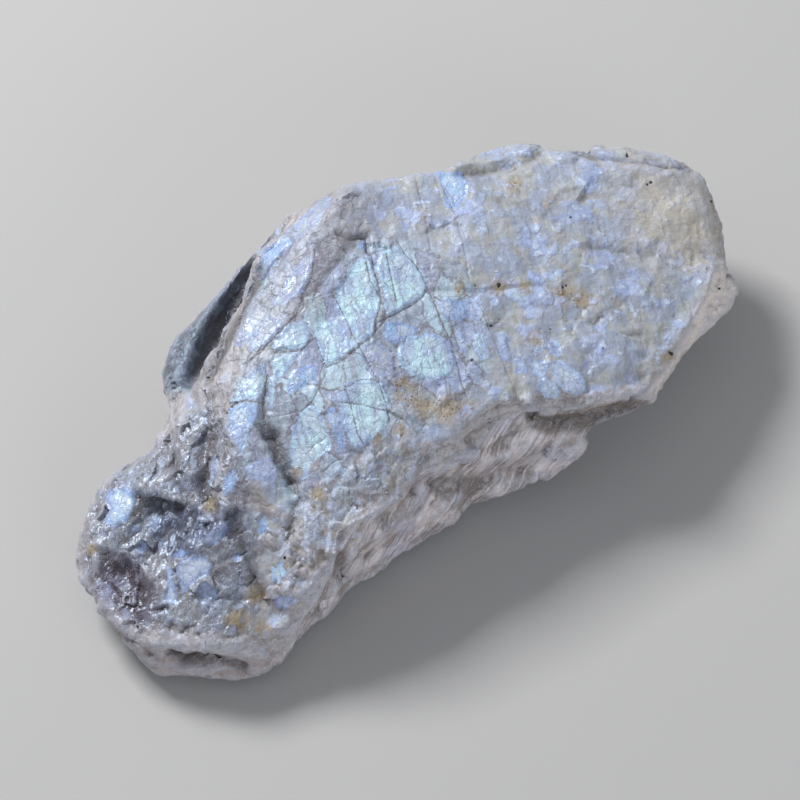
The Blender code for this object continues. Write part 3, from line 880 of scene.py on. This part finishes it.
# Mosaic: towards the middle the face is one net of flashing cells.
tile_place = swayed(grain_place(place, LAYER_NORMAL, (0.45, -0.9), (0.55, 1.0, 0.8)), 0.5)
tile_values = cell_values(tile_place, 1.9)
tiles = paint(
    blend_of(step_of(tile_values[0], 0.35, 0.65), (0.34, 0.41, 0.65), (0.48, 0.68, 0.8)),
    (step_of(tile_values[1], 0.6, 0.65, 0.0, 0.65), (0.22, 0.21, 0.27)),
    (step_of(patchy, 0.5, 0.64, 0.0, 0.6), (0.62, 0.74, 0.86)),
    (step_of(threads, 0.48, 0.41, 0.0, 0.6), (0.27, 0.27, 0.38)),
    (step_of(cell_edge(tile_place, 1.9), 0.06, 0.015, 0.0, 0.85), (0.16, 0.14, 0.15)),
)

# The flank below the crest is crazed into small pale tiles.
flank_place = grain_place(place, LAYER_NORMAL, (0.6, 0.8), (0.55, 1.25, 0.8))
small_values = cell_values(flank_place, 1.0)
small_tiles = paint(
    blend_of(small_values[0], (0.34, 0.36, 0.44), (0.62, 0.62, 0.65)),
    (step_of(small_values[1], 0.7, 0.75, 0.0, 0.7), (0.22, 0.2, 0.22)),
    (step_of(cell_edge(flank_place, 1.0), 0.07, 0.02, 0.0, 0.75), (0.09, 0.08, 0.085)),
)

# Broken walls: beige-brown, with the layers' edges as long fibres.
fibres = cloud(grain_place(place, LAYER_NORMAL, (0.75, 0.66), (0.22, 0.8, 3.0)), 1.0, 4.0, 0.6)
wall_colour = blend_of(step_of(fibres, 0.4, 0.6), (0.31, 0.27, 0.26), (0.55, 0.5, 0.5))

# The tall wall is translucent taupe, with silky threads that run up to the right.
silk = cloud(grain_place(silk_place, FRONT_NORMAL, SILK_LINE, (0.2, 4.0, 0.8)), 1.0, 3.0, 0.6)
taupe = paint(
    blend_of(step_of(cloud(place, 2.0), 0.42, 0.58), (0.38, 0.32, 0.3), (0.74, 0.66, 0.67)),
    (step_of(cloud(plain_place, 3.0, 2.0), 0.52, 0.62, 0.0, 0.6), (0.56, 0.53, 0.66)),
    (step_of(silk, 0.51, 0.63, 0.0, 0.65), (0.88, 0.86, 0.94)),
    (step_of(silk, 0.46, 0.35, 0.0, 0.6), (0.16, 0.13, 0.12)),
)

# The mosaic, the flank and both kinds of wall go on in turn, and the west end is darkened.
colour = paint(
    colour,
    (times(kept("mosaic"), 0.8), tiles),
    (times(kept("flank"), 0.75), small_tiles),
    (step_of(kept("wall"), 0.2, 0.9, 0.0, 0.85), wall_colour),
    (kept("front"), taupe),
    (times(kept("west"), 0.6), (0.14, 0.14, 0.18)),
)

# Zones with their own cast, some of it painted shade or painted light: its share, and its colour.
# Painted highlights lie on the lump as pale blotches.
CASTS = {
    # The lump: dark grey, partly its own and partly painted shade.
    "lump": (0.85, (0.11, 0.12, 0.145)),
    "yellow": (0.65, (0.62, 0.55, 0.44)),
    "brown": (0.5, (0.25, 0.23, 0.25)),
    "slope": (0.12, (0.36, 0.35, 0.38)),
    "shade": (0.85, (0.1, 0.078, 0.088)),
    # Painted shade in the dark cavity of the west end.
    "slate_shade": (0.75, (0.075, 0.08, 0.11)),
    # The bevel at the right end: pale beige, brightened further as painted light on that side.
    "bevel": (0.85, (0.95, 0.85, 0.8)),
    # Painted shadow in the strip under the lip.
    "shelf": (0.85, (0.17, 0.125, 0.09)),
    "rim": (0.6, (0.46, 0.37, 0.36)),
}
colour = paint(colour, *[(times(kept(name), share), cast) for name, (share, cast) in CASTS.items()])
blotches = cloud(plain_place, 0.9, 4.0, 0.6)
lump_highlight_blotches = times(kept("lump"), times(step_of(blotches, 0.5, 0.62), 0.6))

# Painted glints: small facets that lie like the layers get a pale blue painted highlight.
glints = times(step_of(cell_values(place, 0.5)[1], 0.56, 0.74), kept("glint"))
glints = times(glints, larger(kept("west"), step_of(kept("wall"), 0.1, 0.9, 0.25, 0.6)))

# Filaments: hair-thin bright edges of cleavage, painted as highlights where the stone is broken most,
# with thin painted shadows beside them; brown streaks and pale painted highlight streaks between
# them, and short bright dashes of painted glint in the silk.
broken = larger(kept("west"), step_of(kept("wall"), 0.0, 0.8, 0.15, 0.6))
broken = larger(broken, times(kept("slope"), 0.8))
hair_cloud = cloud(grain_place(place, LAYER_NORMAL, (-0.5, -0.86), (0.45, 1.7, 1.0)), 1.0, 3.0, 0.55)
glint_filaments = times(thin_line(hair_cloud, 0.5, 0.022, 0.004), broken)
glint_filaments = times(glint_filaments, step_of(region, 0.42, 0.58, 0.3, 1.0))
shadows = times(thin_line(hair_cloud, 0.54, 0.025, 0.004), broken)
streaky = times(larger(kept("slope"), times(kept("west"), 0.4)), 0.6)
dash_place = grain_place(silk_place, FRONT_NORMAL, SILK_LINE, (0.8, 4.6, 1.0))
glint_dashes = step_of(cells(dash_place, 1.0), 0.36, 0.22)
glint_dashes = times(glint_dashes, step_of(cell_values(dash_place, 1.0)[0], 0.5, 0.6))
glint_dashes = times(glint_dashes, larger(kept("front"), times(kept("wall"), 0.4)))
colour = paint(
    colour,
    # Painted highlights as pale blotches on the lump, and painted shade in the groove beside it.
    (lump_highlight_blotches, (0.42, 0.5, 0.58)),
    (times(kept("groove"), 0.8), (0.055, 0.053, 0.06)),
    (times(glints, 0.7), (0.56, 0.7, 0.96)),
    (times(glint_filaments, 0.7), (0.72, 0.78, 0.92)),
    (times(step_of(hair_cloud, 0.45, 0.36), streaky), (0.2, 0.155, 0.125)),
    (times(step_of(hair_cloud, 0.53, 0.62), streaky), (0.62, 0.73, 0.96)),
    (times(shadows, 0.45), (0.09, 0.08, 0.09)),
    (times(glint_dashes, 0.5), (0.9, 0.92, 1.0)),
)

# Plates: pale cyan, cream and lilac flashes with ragged borders, their sheen painted into the colour.
# Their hearts are paler outside the mosaic, a painted highlight, and their rims a deeper blue.
ragged = plus(kept("plate"), minus(cloud(plain_place, 0.45, 4.0, 0.6), 0.5))
plates = step_of(ragged, -0.05, 0.02)
pale_share = step_of(minus(kept("mosaic"), kept("west")), -0.6, 0.6, 0.55, 0.0)
heart_highlights = times(step_of(ragged, 0.1, 0.75), pale_share)
rims = times(step_of(ragged, 0.55, 0.05), step_of(kept("west"), 0.0, 1.0, 0.35, 0.65))
plate_colour = paint(
    kept("flash", "Color"),
    (step_of(cloud(place, 2.2), 0.44, 0.6, 0.0, 0.6), (0.42, 0.48, 0.8)),
    (step_of(patchy, 0.52, 0.38, 0.0, 0.45), (0.34, 0.41, 0.54)),
    (step_of(threads, 0.49, 0.42, 0.0, 0.6), (0.32, 0.35, 0.54)),
    (step_of(cell_value, 0.6, 0.9, 0.0, 0.5), (0.7, 0.84, 0.92)),
    (heart_highlights, (0.72, 0.84, 1.0)),
    (rims, (0.26, 0.42, 0.86)),
)
soft_border = larger(step_of(ragged, -0.05, 0.35, 0.35, 1.0), minus(1.0, kept("west")))

# Hair cracks everywhere, the long cracks, painted shade in the hollows and folds, and painted light on
# the ridges and the bumps.
wide_hairs = step_of(cell_edge(crack_place, 2.3), 0.03, 0.008)
fine_hairs = step_of(cell_edge(crack_place, 0.9), 0.05, 0.015)
hairs = times(wide_hairs, step_of(kept("mosaic"), 0.0, 1.0, 0.12, 0.5))
hairs = larger(hairs, times(fine_hairs, times(plates, 0.45)))
crack_edge = plus(kept("crack"), times(minus(cloud(plain_place, 0.3), 0.5), 0.12))
long_cracks = times(step_of(crack_edge, 0.1, 0.03), step_of(kept("mosaic"), 0.0, 1.0, 0.4, 0.75))
colour = paint(
    colour,
    (times(plates, times(soft_border, 0.9)), plate_colour),
    (times(hairs, 0.6), (0.16, 0.14, 0.15)),
    (long_cracks, (0.13, 0.11, 0.1)),
    # Painted shade in the hollows and the folds, painted light on the ridges and what stands out.
    (step_of(kept("hollow"), 0.03, 0.2, 0.0, 0.6), (0.12, 0.1, 0.095)),
    (times(kept("fold_shade"), 0.6), (0.09, 0.073, 0.065)),
    (times(kept("ridge_light"), 0.35), (0.6, 0.6, 0.66)),
    (step_of(kept("hollow"), -0.02, -0.1, 0.0, 0.4), (0.46, 0.49, 0.58)),
)

# Stains of iron, and the dark specks.
dirt = times(kept("stain"), step_of(blotches, 0.36, 0.54))
dirt_dots = times(kept("stain"), step_of(cells(plain_place, 0.36), 0.36, 0.2))
dirt_dots = times(dirt_dots, step_of(cloud(plain_place, 1.3), 0.46, 0.56))
dark_specks = step_of(plus(kept("speck"), times(minus(patchy, 0.5), 0.5)), -0.02, 0.03)
colour = paint(
    colour,
    (times(dirt, 0.72), (0.41, 0.3, 0.14)),
    (times(dirt_dots, 0.85), (0.16, 0.07, 0.02)),
    (dark_specks, (0.015, 0.014, 0.013)),
)

# Painted shade: the low left hollow, the west cavity and the lump are darkened by a tint, and a fine
# tooth lies on everything.
PAINTED_SHADE = {"shade": (0.58, 0.49, 0.53), "slate_shade": (0.7, 0.74, 0.86), "lump": (0.65, 0.7, 0.76)}
for name, shade_tint in PAINTED_SHADE.items():
    colour = blend_of(kept(name), colour, shade_tint, "MULTIPLY")
tooth = cloud(plain_place, 0.17, 3.0, 0.6)
toothed = step_of(kept("mosaic"), 0.0, 1.0, 0.08, 0.24)
colour = paint(
    colour,
    (times(step_of(tooth, 0.52, 0.64), toothed), (0.72, 0.8, 0.94)),
    (times(step_of(tooth, 0.46, 0.36), toothed), (0.13, 0.12, 0.14)),
)
tree.links.new(colour, shader.inputs["Base Color"])

# Plates and broken walls shine more than the worn face between them.
shiny = larger(larger(plates, kept("front")), kept("west"))
rough = times(step_of(patchy, 0.35, 0.65, 0.56, 0.38), step_of(shiny, 0.0, 1.0, 1.0, 0.55))
tree.links.new(rough, shader.inputs["Roughness"])

# Low relief under the mesh's own scale, in millimetres: flakes, scales, threads, hairs and fibres.
RELIEF = [
    (tops, -0.15),
    (plus(glint_filaments, glint_dashes), 0.05),
    (cloud(place, 0.35, 4.0, 0.6), 0.045),
    (threads, 0.035),
    (hairs, -0.04),
    (times(fibres, kept("wall")), 0.08),
    (times(silk, kept("front")), 0.1),
    (cell_value, 0.03),
]
relief = times(flakes, 0.04)
for pattern, rise in RELIEF:
    relief = plus(relief, times(pattern, rise))
bump = node_of("Bump", {"Height": relief, "Strength": 0.8, "Distance": MM})
tree.links.new(bump.outputs["Normal"], shader.inputs["Normal"])
shader.inputs["IOR"].default_value = 1.6
shader.inputs["Specular Tint"].default_value = (0.7, 0.83, 1.0, 1)


# The table and the light: a pale floor, a broad soft light from behind on the left, and a weak one
# from the front.
FLOOR_COLOUR = (0.5, 0.495, 0.49, 1)
FLOOR_WIDTH = 4
SKY_COLOUR = (0.9, 0.94, 1.0, 1)
SKY_STRENGTH = 0.35

bpy.ops.object.select_all(action="DESELECT")
bpy.ops.mesh.primitive_plane_add(size=FLOOR_WIDTH, location=(0, 0, 0))
floor = bpy.context.object
floor.name = "floor"
floor_finish = bpy.data.materials.new("floor")
floor_finish.use_nodes = True
floor_shader = floor_finish.node_tree.nodes["Principled BSDF"]
floor_shader.inputs["Base Color"].default_value = FLOOR_COLOUR
floor_shader.inputs["Roughness"].default_value = 0.8
floor.data.materials.append(floor_finish)


def soft_light(name, direction, distance, size, power):
    """A square lamp in a direction from the stone, given across, up and towards the view."""
    lamp = bpy.data.lights.new(name, "AREA")
    lamp.size = size
    lamp.energy = power
    holder = bpy.data.objects.new(name, lamp)
    aim = (across * direction[0] + upward * direction[1] + towards * direction[2]).normalized()
    holder.location = VIEW_MIDDLE + aim * distance
    holder.rotation_mode = "QUATERNION"
    holder.rotation_quaternion = aim.to_track_quat("Z", "Y")
    scene.collection.objects.link(holder)


soft_light("window", (-0.5, 0.8, 0.25), distance=0.5, size=0.16, power=2.6)
soft_light("fill", (0.5, -0.55, 0.7), distance=0.6, size=0.4, power=1.0)
world = bpy.data.worlds.new("studio")
world.use_nodes = True
background = world.node_tree.nodes["Background"]
background.inputs["Color"].default_value = SKY_COLOUR
background.inputs["Strength"].default_value = SKY_STRENGTH
scene.world = world
scene.view_settings.view_transform = "Standard"
